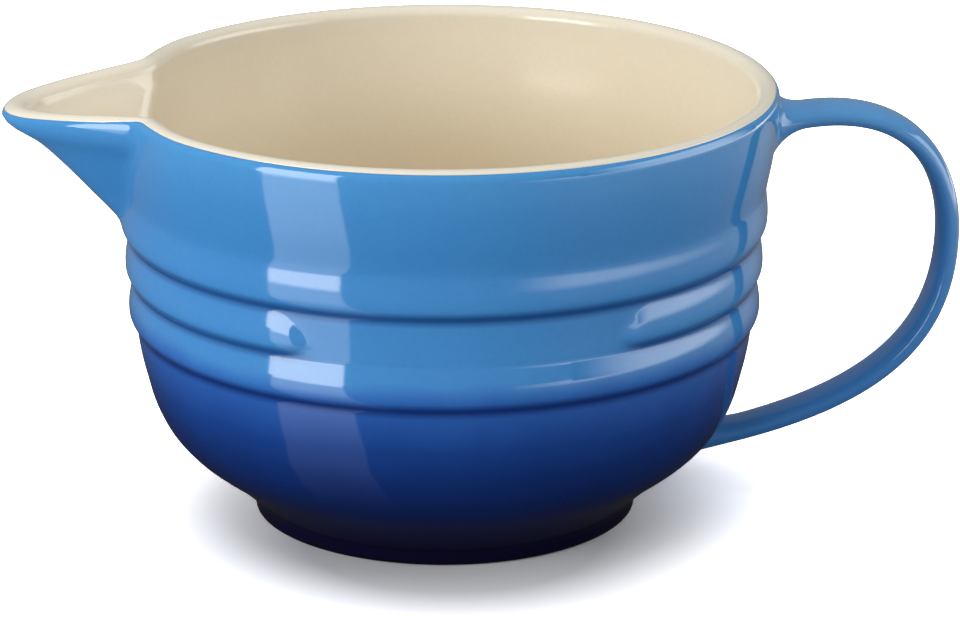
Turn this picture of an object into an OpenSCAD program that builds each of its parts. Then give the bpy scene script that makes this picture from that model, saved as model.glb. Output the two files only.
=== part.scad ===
// Batter bowl: a round stoneware mixing bowl with three throwing ribs, a pulled pouring
// spout and a strap handle, in a coloured outer glaze and a pale liner glaze.
// Lengths are in mm. Z is the bowl's axis and the foot ring stands on z = 0.
// The handle reaches toward +X, the spout toward -X. The ribs' bare panel faces -Y.

/* [Bowl] */
// Outside diameter at the rim, over the glaze
rim_d = 188; // [168:1:210]
// Height from the foot to the top of the rim
bowl_h = 124.2; // [118:0.2:138]
// Wall thickness, with both glaze coats
wall_t = 6.4; // [5.6:0.1:7.2]
// Floor thickness at the middle, with the liner glaze
floor_t = 7.2; // [6.4:0.1:9]

/* [Rim] */
// Height of the rounded edge of the rim
rim_round = 3.2; // [2.6:0.1:4]

/* [Foot ring] */
// Outside diameter of the foot ring
foot_d = 109; // [98:1:118]
// Height of the foot ring's outer face
foot_h = 4.4; // [3.6:0.1:5.2]
// Width of the ring that stands on the table
foot_w = 7; // [5.5:0.1:9]
// Depth of the recess inside the ring
foot_recess = 3.2; // [2.4:0.1:3.6]
// Break on the two lower edges of the ring
foot_break = 0.8; // [0.5:0.1:1.2]

/* [Ribs] */
// Height of the top rib's crest above the table
rib_top = 86.2; // [83:0.2:88]
// Distance between crests, which is also a rib's height up the wall
rib_pitch = 13; // [11:0.5:13.5]
// How far a crest stands off the wall
rib_h = 1.7; // [1:0.1:2.2]
// How sharp the creases between the ribs are: 2 is a soft wave, 1 a sharp crease
rib_power = 1.3; // [1.2:0.1:2]
// Angle over which the middle rib is left out at the panel
panel_angle = 66; // [40:1:90]

/* [Spout] */
// Distance from the bowl's axis to the tip of the spout
spout_reach = 123.5; // [119:0.5:129]
// How far the tip lies below the rim
spout_dip = 3.4; // [2:0.2:5]
// Half of the angle between the spout's two sides
spout_half_angle = 40; // [37:0.5:43]
// Half of the angle that the sides turn in to beside the wall
waist_half_angle = 28; // [26:0.5:30]
// Plan rounding of the spout's tip, as the depth it takes off the sharp corner
tip_round = 11; // [9:0.2:13]
// Plan rounding of the channel's tip, measured the same way
channel_round = 7.4; // [6:0.2:9]
// Blend between a side's straight part and the part that turns in
waist_blend = 3; // [2:0.5:4]
// Blend between the spout and the wall outside
spout_blend = 1.6; // [1.2:0.1:2.4]
// Blend between the channel and the wall inside
channel_blend = 3.2; // [2.2:0.1:4]

/* [Handle] */
// Distance from the bowl's axis to the outside of the handle
handle_reach = 147.3; // [141:0.5:156]
// Drop from the rim to the strap's widest point
mid_drop = 46.9; // [43:0.1:51]
// Drop from the rim to the strap's middle where it leaves the wall
top_drop = 14.2; // [13:0.2:17]
// Height of the strap's middle where it meets the belly
handle_low = 16.2; // [15.4:0.2:18]
// Strap width at the top root
strap_w_top = 18; // [15:0.5:21]
// Strap width at the lower root
strap_w_low = 14; // [12:0.5:17]
// Strap thickness at the top root
strap_t_top = 6.6; // [5.6:0.1:7.6]
// Strap thickness at the lower root
strap_t_low = 5.8; // [5:0.1:6.8]
// Length over which a root flares out to the wall
flare_l = 9; // [7:0.5:11]
// Flare at the sides of both roots
flare_side = 5; // [3:0.5:6]
// Flare over the strap at the top root
flare_over = 6.4; // [4:0.2:6.6]
// Flare under the strap at the top root
flare_under = 9.4; // [6:0.2:10.4]
// Flare over the strap at the lower root
flare_low_over = 7; // [4:0.2:8]
// Flare under the strap at the lower root
flare_low_under = 2; // [0.8:0.2:2.6]

/* [Slip and glaze] */
// Thickness of the slip that joins the handle to the bowl
slip_t = 1.2; // [0.8:0.1:1.6]
// Thickness of a glaze coat
glaze_t = 0.45; // [0.3:0.05:0.6]
// Height of the bare band left at the bottom of the foot ring
bare_h = 1; // [0.9:0.1:2]

/* [Hidden] */
$fn = 180;
turn = 360;
half_turn = turn / 2;
quarter_turn = turn / 4;
rim_r = rim_d / 2;
foot_r = foot_d / 2;
floor_z = foot_recess + floor_t;
handle_mid = bowl_h - mid_drop;
handle_top = bowl_h - top_drop;
rib_low = rib_top - 2 * rib_pitch;
// The crest lies low on its rib: a short lower side and a long upper one
crest_share = 0.3;
rib_middle = rib_top - rib_pitch;
band_top = rib_top - crest_share * rib_pitch;
band_low = band_top - rib_pitch;
ribs_z = band_low - rib_pitch;
shoulder_z = bowl_h - rim_round;
// One overrun for every cut that must pass a face
over = 2;
// Step for slopes taken from the curves
slope_step = 0.2;

// The wall's outer curve without ribs: share of the height above the foot ring, and
// share of the way from the foot's radius to the rim's
wall_shares = [
    [0, 0.0152], [0.0134, 0.0532], [0.0301, 0.1013], [0.0467, 0.1544],
    [0.0634, 0.2101], [0.0801, 0.2709], [0.101, 0.357], [0.1219, 0.438],
    [0.1427, 0.5089], [0.1636, 0.5671], [0.1886, 0.6253], [0.2137, 0.6684],
    [0.2429, 0.7089], [0.2721, 0.7392], [0.3055, 0.7646], [0.3389, 0.79],
    [0.3765, 0.8125], [0.414, 0.829], [0.4683, 0.843], [0.5267, 0.852],
    [0.581, 0.8608], [0.6352, 0.8734], [0.6895, 0.8886], [0.7479, 0.9139],
    [0.7813, 0.9304], [0.823, 0.9544], [0.8648, 0.9747], [0.9065, 0.9899],
    [0.9482, 0.9975], [1, 1]
];
// Heights of a column under the ribs, as shares of the way from the foot ring up to them
low_shares = [
    0, 0.0309, 0.0694, 0.1077, 0.1462, 0.1847, 0.2329, 0.2811, 0.3291, 0.3773,
    0.4349, 0.4928, 0.5601, 0.6275, 0.7045, 0.7815, 0.8682, 0.9547
];
// The spout's lower edge seen from the side: share of the bowl's height, and share of
// the reach
ridge_shares = [
    [0.5475, 0.6316], [0.6441, 0.6923], [0.6924, 0.7336], [0.715, 0.753],
    [0.7343, 0.77], [0.7528, 0.787], [0.7721, 0.8057], [0.7915, 0.8227],
    [0.8108, 0.8413], [0.8301, 0.8591], [0.8486, 0.8777], [0.868, 0.8972],
    [0.8873, 0.919], [0.9066, 0.9466], [0.9179, 0.966], [0.9275, 0.9814],
    [0.9372, 0.9919], [0.9501, 0.9984], [0.9662, 1], [1.0386, 1]
];
// Directions of the spout's columns, as shares of the sector's half angle
side_shares = [
    0, 0.03, 0.07, 0.12, 0.2, 0.3, 0.41, 0.52, 0.6, 0.66, 0.72, 0.8, 0.9
];
sector_half_angle = 31;
// Heights of a column above the top rib, as shares of the way up to the shoulder
upper_shares = [0.2, 0.38, 0.54, 0.69, 0.84, 1];
// Angles round the rounded edge, from outside over the top to inside
edge_angles = [25, 47, 75, 105, 130, 155, 180];
// Which of these angles is where the two glaze coats meet
meet_index = 1;
// Steps up a rib, as shares of its height
rib_shares = [0, 0.06, 0.13, 0.21, 0.3, 0.43, 0.57, 0.71, 0.86, 1];
// How much of the middle rib's height is left at the bare panel
panel_share = 0.03;
// The spout's sector of wall is keyed to the wall below by a tongue inside both: half its
// height and how far it stays inside the wall's faces
tongue_l = 2;
tongue_in = 2;
// The tongue's share of the sector's angle
tongue_share = 0.9;
// Hairline round the rest of the sector, under it and at its two ends
seam = 0.03;

// Curves of the wall
function fair_r(z) = foot_r
    + (rim_r - foot_r) * lookup((z - foot_h) / (bowl_h - foot_h), wall_shares);
function one_rib(z, c) = let (u = (z - c) / rib_pitch + crest_share) u <= 0 || u >= 1
    ? 0 : u < crest_share ? rib_h * sin(quarter_turn * u / crest_share)
    : rib_h * pow(sin(quarter_turn * (1 - u) / (1 - crest_share)), rib_power);
function wall_r(z, middle = 1) = fair_r(z) + one_rib(z, rib_top)
    + middle * one_rib(z, rib_middle) + one_rib(z, rib_low);
function fair_slope(z) = (fair_r(z + slope_step) - fair_r(z - slope_step))
    / (2 * slope_step);
// The thickness across the wall, measured level, for a coat or wall of true thickness t
function level(t, z) = t * sqrt(1 + pow(fair_slope(z), 2));
// The inside follows the outside at the wall's thickness, down to the floor's curve
inner_points = [
    for (s = concat([for (p = wall_shares) p[0]]))
        let (z = foot_h + s * (bowl_h - foot_h), m = fair_slope(z), n = sqrt(1 + m * m))
            if (s > 0.05) [z + wall_t * m / n, fair_r(z) - wall_t / n]
];
function inside_r(z) = lookup(z, inner_points);
function inside_slope(z) = (inside_r(z + slope_step) - inside_r(z - slope_step))
    / (2 * slope_step);
function inside_level(t, z) = t * sqrt(1 + pow(inside_slope(z), 2));

// Smooth larger and smaller of two lengths
function larger(a, b, k) = let (h = max(k - abs(a - b), 0) / k) max(a, b) + h * h * k / 4;
function smaller(a, b, k) = -larger(-a, -b, k);

// Plan of the spout: two straight sides that meet in a rounded tip and turn in a little
// beside the wall, where they are waist_share as far from the axis
waist_share = 0.81;
waist_angle = quarter_turn - waist_half_angle;
face_angle = quarter_turn - spout_half_angle;
function side_reach(z) = sin(spout_half_angle)
    * (spout_reach * lookup(z / bowl_h, ridge_shares) + tip_round);
function side_slope(z) = (side_reach(z + slope_step) - side_reach(z - slope_step))
    / (2 * slope_step);
function vee(d, a, k, t) = smaller(
    smaller(d / cos(a - face_angle), d / cos(a + face_angle), k),
    (waist_share * (d + t) - t) / cos(abs(a) - waist_angle), waist_blend
);
channel_points = [
    for (p = ridge_shares)
        let (z = p[0] * bowl_h, m = side_slope(z), n = sqrt(1 + m * m))
            [z + wall_t * m / n, side_reach(z) - wall_t / n]
];
function outer_r(a, z) = larger(
    wall_r(z), vee(side_reach(z), a, 4 * tip_round, 0), spout_blend
);
function inner_r(a, z) = larger(
    inside_r(z), vee(lookup(z, channel_points), a, 4 * channel_round, wall_t),
    channel_blend
);
// The rim falls toward the tip in step with how far the spout stands out
function out_share(a) = (outer_r(a, shoulder_z) - wall_r(shoulder_z))
    / (spout_reach - wall_r(shoulder_z));
function rim_drop(a) = spout_dip * max(out_share(a), 0);
// Level thickness of a coat on the spout's slanting sides
angle_step = 0.3;
function slant(a, z) = let (
        r = outer_r(a, z),
        u = (outer_r(a, z + slope_step) - r) / slope_step,
        v = (outer_r(a + angle_step, z) - outer_r(a - angle_step, z))
            / (2 * angle_step * PI / half_turn * r)
    ) sqrt(1 + u * u + v * v);
function inner_slant(a, z) = let (
        r = inner_r(a, z),
        u = (inner_r(a, z + slope_step) - r) / slope_step,
        v = (inner_r(a + angle_step, z) - inner_r(a - angle_step, z))
            / (2 * angle_step * PI / half_turn * r)
    ) sqrt(1 + u * u + v * v);

// Columns of the upper wall in a direction a off the spout, g in from the glaze's face
function upper_heights(a, up) = let (top = shoulder_z - rim_drop(a)) concat(
    [band_top + up],
    [for (u = tail(rib_shares)) band_top + rib_pitch * u],
    [for (s = upper_shares) band_top + rib_pitch + s * (top - band_top - rib_pitch)]
);
function outer_side(a, g, up = 0) = [
    for (z = upper_heights(a, up)) [outer_r(a, z) - g * slant(a, z), z]
];
inner_count = 7;
function inner_side(a, g, up = 0) = let (top = shoulder_z - rim_drop(a)) [
    for (i = [1:inner_count])
        let (z = top + (band_top + up - top) * i / inner_count)
            [inner_r(a, z) + g * inner_slant(a, z), z]
];
function edge(a, g) = let (
        z = shoulder_z - rim_drop(a),
        ro = outer_r(a, z) - g * slant(a, z),
        ri = inner_r(a, z) + g * inner_slant(a, z)
    ) [
        for (b = edge_angles)
            [(ro + ri) / 2 + (ro - ri) / 2 * cos(b), z + (rim_round - g) * sin(b)]
    ];
function part_of(list, i, j) = [for (k = [i:j]) list[k]];
function back(list) = [for (k = [len(list) - 1:-1:0]) list[k]];
last_edge = len(edge_angles) - 1;

function body_upper(a) = concat(
    outer_side(a, glaze_t), edge(a, glaze_t), inner_side(a, glaze_t)
);
function body_spout(a) = concat(
    outer_side(a, glaze_t, seam), edge(a, glaze_t), inner_side(a, glaze_t, seam)
);
function coat_spout(a) = concat(
    outer_side(a, 0, seam), part_of(edge(a, 0), 0, meet_index),
    back(concat(
        outer_side(a, glaze_t, seam), part_of(edge(a, glaze_t), 0, meet_index)
    ))
);
function liner_spout(a) = concat(
    part_of(edge(a, 0), meet_index, last_edge), inner_side(a, 0, seam),
    back(concat(
        part_of(edge(a, glaze_t), meet_index, last_edge), inner_side(a, glaze_t, seam)
    ))
);
// Columns of the middle rib's band
function band_side(g) = [
    for (u = rib_shares)
        let (z = band_low + rib_pitch * u) [wall_r(z) - level(g, z), z]
];
function band_inside(g) = [
    for (z = [band_top, rib_middle, band_low]) [inside_r(z) + inside_level(g, z), z]
];

// The low part: foot, belly and low rib outside, floor inside
function low_side(g) = concat(
    [
        for (s = low_shares)
            let (z = foot_h + s * (ribs_z - foot_h)) [wall_r(z) - level(g, z), z]
    ],
    [
        for (u = rib_shares)
            let (z = ribs_z + rib_pitch * u) [wall_r(z) - level(g, z), z]
    ]
);
// The foot's side ends where the belly's slope runs into it
function foot_side(g) = let (
        out = wall_r(foot_h) - level(g, foot_h) - (foot_r - g)
    ) [
        [foot_r - g, bare_h],
        [foot_r - g, foot_h - out / fair_slope(foot_h + slope_step)]
    ];
// The floor is flat in the middle and curves up into the wall
low_joint = inner_points[0];
joint_slope = inside_slope(low_joint[0] + slope_step);
bend_r = low_joint[1] - (low_joint[0] - floor_z) * joint_slope;
flat_r = bend_r - (low_joint[1] - bend_r);
curve_steps = 6;
function curve(t, g) = let (
        r = pow(1 - t, 2) * flat_r + 2 * t * (1 - t) * bend_r + t * t * low_joint[1],
        z = floor_z + t * t * (low_joint[0] - floor_z),
        dr = (1 - t) * (bend_r - flat_r) + t * (low_joint[1] - bend_r),
        dz = t * (low_joint[0] - floor_z),
        n = norm([dr, dz])
    ) [r + g * dz / n, z - g * dr / n];
inside_shares = [1, 0.75, 0.52, 0.36, 0.24, 0.15, 0.08];
function low_inside(g) = concat(
    [
        for (s = inside_shares)
            let (z = low_joint[0] + s * (band_low - low_joint[0]))
                [inside_r(z) + inside_level(g, z), z]
    ],
    [for (i = [curve_steps:-1:0]) curve(i / curve_steps, g)],
    [[0, floor_z - g]]
);
function foot_ring(g) = [
    [0, foot_recess], [foot_r - foot_w, foot_recess],
    [foot_r - foot_w, foot_break], [foot_r - foot_w + foot_break, 0],
    [foot_r - g - foot_break, 0], [foot_r - g, foot_break]
];
function tail(list) = part_of(list, 1, len(list) - 1);
// Whole outlines: clay, and the liner's coat
body_outline = concat(
    foot_ring(glaze_t), foot_side(glaze_t), low_side(glaze_t), tail(band_side(glaze_t)),
    tail(body_upper(half_turn)), tail(band_inside(glaze_t)), tail(low_inside(glaze_t))
);
function liner_side(g) = concat(
    part_of(edge(half_turn, g), meet_index, last_edge), inner_side(half_turn, g),
    tail(band_inside(g)), tail(low_inside(g))
);
liner_outline = concat(liner_side(0), back(liner_side(glaze_t)));
// The outer coat's two faces, as solids down to the axis: the coat's own, and the clay's
function coat_side(g) = concat(
    low_side(g), tail(band_side(g)), tail(outer_side(half_turn, g)),
    part_of(edge(half_turn, g), 0, meet_index)
);
coat_top = edge(half_turn, glaze_t)[meet_index];
coat_outline = concat(
    [[0, bare_h]], foot_side(0), coat_side(0), [coat_top, [0, coat_top[1]]]
);
clay_outline = concat(
    [[0, -over], [foot_r - glaze_t, -over]], [foot_side(glaze_t)[1]], coat_side(glaze_t),
    [coat_top + [0, over], [0, coat_top[1] + over]]
);

// A solid between columns set out round the axis. From its point turned_from on a column
// runs back, and the quads are then split the other way, so that a coat's inner face has
// the same triangles as the clay under it.
module sector(columns, angles, turned_from) {
    n = len(columns[0]);
    m = len(columns);
    points = [
        for (j = [0:m - 1]) for (p = columns[j])
            [p[0] * cos(angles[j]), p[0] * sin(angles[j]), p[1]]
    ];
    sides = [
        for (j = [0:m - 2]) for (i = [0:n - 1])
            let (a = j * n + i, b = j * n + (i + 1) % n)
                each i < turned_from ? [[a, b, b + n], [a, b + n, a + n]]
                    : [[a, b, a + n], [b, b + n, a + n]]
    ];
    // The end faces in strips between the outline's rising and falling sides
    half = floor(n / 2);
    strips = [
        for (i = [0:half - 1])
            let (j = n - 1 - i) each concat(
                i + 1 < j ? [[j, i + 1, i]] : [],
                i + 1 < j - 1 ? [[j, j - 1, i + 1]] : []
            )
    ];
    other = [for (t = strips) [for (k = back(t)) (m - 1) * n + k]];
    polyhedron(points, concat(sides, strips, other), convexity = 8);
}

// Directions of the spout's columns, off the spout's own direction
end_angle = sector_half_angle - seam / rim_r * half_turn / PI;
side_angles = concat(
    back([for (s = tail(side_shares)) -s * end_angle]),
    [for (s = side_shares) s * end_angle]
);
module spout_sector(columns, end_column, turned_from) {
    sector(
        concat([end_column], columns, [end_column]),
        [for (a = concat([-end_angle], side_angles, [end_angle])) half_turn + a],
        turned_from
    );
}
module spout_coat(columns, end_column) {
    spout_sector(columns, end_column, len(end_column) / 2);
}
// Directions of the bare panel
panel_start = turn - quarter_turn - panel_angle / 2;
// What takes the middle rib off at the panel, down to g below the glaze's face
module panel_cut(g) {
    a = g / rim_r * half_turn / PI;
    rotate_extrude(start = panel_start - a, angle = panel_angle + 2 * a) polygon(concat(
        [[rim_r + over, band_low], [fair_r(band_low) + panel_share * rib_h - g, band_low]],
        [[fair_r(band_top) + panel_share * rib_h - g, band_top], [rim_r + over, band_top]]
    ));
}
// The tongue between the spout's sector and the wall below
module tongue() {
    x = wall_r(band_top) - glaze_t - tongue_in;
    y = inside_r(band_top) + glaze_t + tongue_in;
    a = tongue_share * sector_half_angle;
    rotate_extrude(start = half_turn - a, angle = 2 * a) polygon([
        [y, band_top - tongue_l], [x, band_top - tongue_l],
        [x, band_top + tongue_l], [y, band_top + tongue_l]
    ]);
}
// What makes room for the spout's sector
module spout_room() {
    rotate_extrude(
        start = half_turn - sector_half_angle, angle = 2 * sector_half_angle
    ) polygon([
        [rim_r / 2, band_top], [spout_reach, band_top],
        [spout_reach, bowl_h + over], [rim_r / 2, bowl_h + over]
    ]);
}

// The strap: middle line, width and thickness along its length
reach_r = handle_reach - (strap_t_top + strap_t_low) / 4;
// The middle line starts inside the wall at the top, and ends just outside the belly
// before it runs on into it
root_x = fair_r(handle_top) - wall_t / 2;
low_x = fair_r(handle_low) + wall_t / 2;
// Its bends, as shares of the way from the root to the reach
bend_share = 0.733;
low_bend_share = 0.705;
// The same bends' heights, as shares of the heights between roots and widest point
rise_share = 1.336;
fall_share = 0.687;
sag_share = 0.541;
low_rise_share = 0.158;
// How far the strap runs on into the belly, as a share of the wall's thickness
low_run_share = 1.6;
top_l = handle_top - handle_mid;
low_l = handle_mid - handle_low;
upper_bow = [
    [root_x, handle_top],
    [root_x + bend_share * (reach_r - root_x), handle_mid + rise_share * top_l],
    [reach_r, handle_mid + fall_share * top_l], [reach_r, handle_mid]
];
lower_bow = [
    [reach_r, handle_mid], [reach_r, handle_mid - sag_share * low_l],
    [low_x + low_bend_share * (reach_r - low_x), handle_low + low_rise_share * low_l],
    [low_x, handle_low]
];
function on_bow(p, t) = pow(1 - t, 3) * p[0] + 3 * t * pow(1 - t, 2) * p[1]
    + 3 * t * t * (1 - t) * p[2] + pow(t, 3) * p[3];
function along_bow(p, t) = pow(1 - t, 2) * (p[1] - p[0]) + 2 * t * (1 - t) * (p[2] - p[1])
    + t * t * (p[3] - p[2]);
// Steps along each bow, closer together where a root flares
step_shares = [
    0, 0.025, 0.05, 0.075, 0.1, 0.13, 0.17, 0.23, 0.31, 0.4, 0.5, 0.6, 0.7, 0.8, 0.9
];
steps = concat(
    [for (s = step_shares) [on_bow(upper_bow, s), along_bow(upper_bow, s), s / 2]],
    [[upper_bow[3], along_bow(upper_bow, 1), 1 / 2]],
    [
        for (s = back(step_shares))
            [on_bow(lower_bow, 1 - s), along_bow(lower_bow, 1 - s), 1 - s / 2]
    ],
    [
        for (s = [0.5, 1])
            [
                lower_bow[3] + s * low_run_share * wall_t
                    * (lower_bow[3] - lower_bow[2]) / norm(lower_bow[3] - lower_bow[2]),
                along_bow(lower_bow, 1), 1
            ]
    ]
);
// How much of its flare a root has at a distance d from the wall
function flare(d) = d >= flare_l ? 0 : d <= 0 ? 1
    : 1 - sqrt(1 - pow(1 - d / flare_l, 2));
function wall_gap(p) = (p[0] - fair_r(p[1])) / norm([1, fair_slope(p[1])]);
strap_sides = 20;
// Squareness of the strap's rounded section
strap_power = 2.3;
function rounded(c) = sign(c) * pow(abs(c), 2 / strap_power);
function strap_ring(step, g) = let (
        p = step[0],
        d = step[1] / norm(step[1]),
        out = [-d[1], d[0]],
        s = step[2],
        top = s < 1 / 2 ? flare(wall_gap(p)) : 0,
        low = s > 1 / 2 ? flare(wall_gap(p)) : 0,
        w = strap_w_top + (strap_w_low - strap_w_top) * s
            + 2 * flare_side * (top + low) + 2 * g,
        t = strap_t_top + (strap_t_low - strap_t_top) * s + 2 * g,
        over_t = t / 2 + top * flare_over + low * flare_low_under,
        under_t = t / 2 + top * flare_under + low * flare_low_over
    ) [
        for (i = [0:strap_sides - 1])
            let (
                b = turn * i / strap_sides,
                q = rounded(sin(b)) * (sin(b) > 0 ? over_t : under_t),
                r = p + out * q
            ) [r[0], rounded(cos(b)) * w / 2, r[1]]
    ];
module strap(g, ends = 0) {
    rings = [for (s = steps) strap_ring(s, g)];
    m = len(rings);
    n = strap_sides;
    // Where ends is given, the strap runs on that far at both roots, inside the wall
    first = [for (p = rings[0]) p - [ends, 0, 0]];
    last = [for (p = rings[m - 1]) p - [ends, 0, 0]];
    all = ends > 0 ? concat([first], rings, [last]) : rings;
    k = len(all);
    sides = [
        for (j = [0:k - 2]) for (i = [0:n - 1])
            let (a = j * n + i, b = j * n + (i + 1) % n)
                each [[a, b + n, b], [a, a + n, b + n]]
    ];
    caps = [[for (i = [0:n - 1]) i], [for (i = [n - 1:-1:0]) (k - 1) * n + i]];
    polyhedron([for (r = all) each r], concat(sides, caps), convexity = 6);
}
// The bowl's outside as a solid: h out from the clay's face
function core_points(h) = concat(
    [[0, bare_h], [foot_r - glaze_t + h, bare_h]],
    [
        for (p = concat(low_side(glaze_t), tail(band_side(glaze_t)),
            tail(outer_side(half_turn, glaze_t)))) p + [h * level(1, p[1]), 0]
    ],
    [[rim_r - glaze_t + h, bowl_h + over], [0, bowl_h + over]]
);
module core(h) {
    rotate_extrude() polygon(core_points(h));
}

module bowl_body() {
    color("#d9cbb2") union() {
        difference() {
            rotate_extrude() polygon(body_outline);
            panel_cut(glaze_t);
            spout_room();
        }
        spout_sector(
            [for (a = side_angles) body_spout(a)], body_spout(half_turn),
            len(body_spout(half_turn))
        );
        tongue();
    }
}

module handle() {
    color("#d6c7ad") difference() {
        strap(0);
        core(slip_t);
    }
}

// The slip layer lies between the clay of the wall and the cut end of the strap
module slip_joint(z) {
    difference() {
        intersection() {
            strap(0);
            core(slip_t);
            translate([0, -rim_r, z]) cube([2 * rim_r, 2 * rim_r, bowl_h / 2]);
        }
        core(0);
    }
}

module upper_slip_joint() {
    color("#b9a98c") slip_joint(bowl_h / 2);
}

module lower_slip_joint() {
    color("#b9a98c") slip_joint(0);
}

module outer_glaze() {
    color("#2f6db5") difference() {
        union() {
            difference() {
                rotate_extrude() polygon(coat_outline);
                panel_cut(0);
                difference() {
                    rotate_extrude() polygon(clay_outline);
                    panel_cut(glaze_t);
                }
                spout_room();
            }
            spout_coat([for (a = side_angles) coat_spout(a)], coat_spout(half_turn));
        }
        strap(0, over);
    }
}

module liner_glaze() {
    color("#eadfc6") union() {
        difference() {
            rotate_extrude() polygon(liner_outline);
            spout_room();
        }
        spout_coat([for (a = side_angles) liner_spout(a)], liner_spout(half_turn));
    }
}

module handle_glaze() {
    color("#3a7cc4") difference() {
        strap(glaze_t, over / 2);
        strap(0, over);
        core(glaze_t);
    }
}

bowl_body();
handle();
upper_slip_joint();
lower_slip_joint();
outer_glaze();
liner_glaze();
handle_glaze();
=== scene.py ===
"""A batter bowl in glazed stoneware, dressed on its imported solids.

The bowl is one piece of fired clay with three coats of glaze: a graded blue coat outside,
a cream liner that wraps over the rim, and the blue coat on the handle. Lengths are
millimetres in the bowl, the handle and the finishes, and metres in the studio. Meshes
are made in metres in the frame of the solids.
"""

import logging
from dataclasses import dataclass, field
from enum import Enum
from functools import partialmethod
from math import cos, pi, radians, sin
from typing import Any

import bpy
import numpy as np
from bpy.types import Material, NodeSocket, NodeTree, Object
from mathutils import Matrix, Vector


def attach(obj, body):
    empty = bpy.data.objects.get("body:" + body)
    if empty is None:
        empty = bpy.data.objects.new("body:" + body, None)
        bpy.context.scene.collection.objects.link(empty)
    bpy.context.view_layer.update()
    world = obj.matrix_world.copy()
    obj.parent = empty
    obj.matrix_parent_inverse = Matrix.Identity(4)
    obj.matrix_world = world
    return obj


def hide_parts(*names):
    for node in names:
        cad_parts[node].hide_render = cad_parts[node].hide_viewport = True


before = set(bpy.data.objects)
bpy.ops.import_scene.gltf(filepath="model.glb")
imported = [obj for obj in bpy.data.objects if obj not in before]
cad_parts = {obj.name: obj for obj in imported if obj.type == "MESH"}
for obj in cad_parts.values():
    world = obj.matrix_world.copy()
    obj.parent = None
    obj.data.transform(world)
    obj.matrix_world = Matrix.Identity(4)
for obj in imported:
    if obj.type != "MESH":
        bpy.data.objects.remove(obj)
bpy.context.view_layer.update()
LOG = logging.getLogger("batter_bowl")
Array = np.ndarray
Pair = tuple[float, float]
Place = tuple[float, float, float]
Fade = tuple[float, float, float, float]
MM = 0.001
QUARTER = pi / 2
WHITE = "#ffffff"
TINTED = {"data_type": "RGBA", "blend_type": "MULTIPLY"}


class Ray(Enum):
    """Kinds of ray that the floor and the surroundings answer differently."""

    CAMERA = "Is Camera Ray"
    GLOSSY = "Is Glossy Ray"


class Slot(Enum):
    """Material slots of the record."""

    STONEWARE = "stoneware"
    SLIP = "slip"
    BLUE = "blue_glaze"
    CREAM = "cream_glaze"


# Curves and small mathematics

class SmoothCurve:
    """A natural cubic curve through points, straight beyond its ends."""

    def __init__(self, xs: Any, ys: Any) -> None:
        """Solves the second slopes of the curve with values ys at rising positions xs."""
        self.x = np.asarray(xs, float)
        self.y = np.asarray(ys, float)
        n = len(self.x)
        h = np.diff(self.x)
        rise = np.diff(self.y) / h
        rows = np.eye(n)
        right = np.zeros(n)
        for i in range(1, n - 1):
            rows[i, i - 1:i + 2] = h[i - 1], 2 * (h[i - 1] + h[i]), h[i]
            right[i] = 6 * (rise[i] - rise[i - 1])
        self.bend = np.linalg.solve(rows, right)
        self.first = rise[0] - h[0] * self.bend[1] / 6
        self.last = rise[-1] + h[-1] * self.bend[-2] / 6

    def __call__(self, at: Any) -> Array:
        """Returns the curve's values at the positions given."""
        at = np.asarray(at, float)
        inside = np.clip(at, self.x[0], self.x[-1])
        i = np.clip(np.searchsorted(self.x, inside) - 1, 0, len(self.x) - 2)
        h = self.x[i + 1] - self.x[i]
        a = (self.x[i + 1] - inside) / h
        b = 1 - a
        value = a * self.y[i] + b * self.y[i + 1]
        value += ((a**3 - a) * self.bend[i] + (b**3 - b) * self.bend[i + 1]) * h * h / 6
        value += np.minimum(at - self.x[0], 0) * self.first
        return value + np.maximum(at - self.x[-1], 0) * self.last

    def slope(self, at: Any, step: float = 0.05) -> Array:
        """Returns the curve's slopes at the positions given."""
        return (self(at + step) - self(at - step)) / (2 * step)


def larger(a: Any, b: Any, k: float) -> Array:
    """Returns the larger of two lengths, blended smoothly where they are within k."""
    h = np.maximum(k - np.abs(a - b), 0) / k
    return np.maximum(a, b) + h * h * k / 4


def smaller(a: Any, b: Any, k: float) -> Array:
    """Returns the smaller of two lengths, blended smoothly where they are within k."""
    return -larger(-a, -b, k)


def eased(t: Array) -> Array:
    """Returns shares from 0 to 1 that start and end softly."""
    return t * t * (3 - 2 * t)


def powered(v: Array, power: float) -> Array:
    """Returns numbers raised to a power, with their signs kept."""
    return np.sign(v) * np.abs(v) ** power


def unit(v: Array) -> Array:
    """Returns vectors along the last axis at length one."""
    return v / np.maximum(np.linalg.norm(v, axis=-1, keepdims=True), 1e-12)


# Meshes

def grid_faces(across: int, rows: int, looped: bool) -> list[list[int]]:
    """Lists the four-sided faces of a grid of points that goes all the way round.

    Args:
        across: Number of columns.
        rows: Number of points in a column.
        looped: Whether the last row joins the first.

    Returns:
        The faces, turned so that they face outwards on a surface whose columns run
        anticlockwise and whose points run up the outside.
    """
    a = np.arange(across * rows).reshape(across, rows)
    b = np.roll(a, -1, axis=0)
    faces = np.stack([a, b, np.roll(b, -1, axis=1), np.roll(a, -1, axis=1)], axis=-1)
    return (faces if looped else faces[:, :-1]).reshape(-1, 4).tolist()


def placed(name: str, data: Any) -> Object:
    """Makes an object of a mesh, lamp or camera and links it to the scene."""
    made = bpy.data.objects.new(name, data)
    bpy.context.collection.objects.link(made)
    return made


def make_piece(name: str, points: Array, faces: list[Any]) -> Object:
    """Makes a smooth-shaded piece of points in millimetres and faces of point numbers."""
    mesh = bpy.data.meshes.new(name)
    mesh.from_pydata((points * MM).tolist(), [], faces)
    mesh.polygons.foreach_set("use_smooth", [True] * len(mesh.polygons))
    mesh.validate()
    mesh.update()
    return placed(name, mesh)


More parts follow.
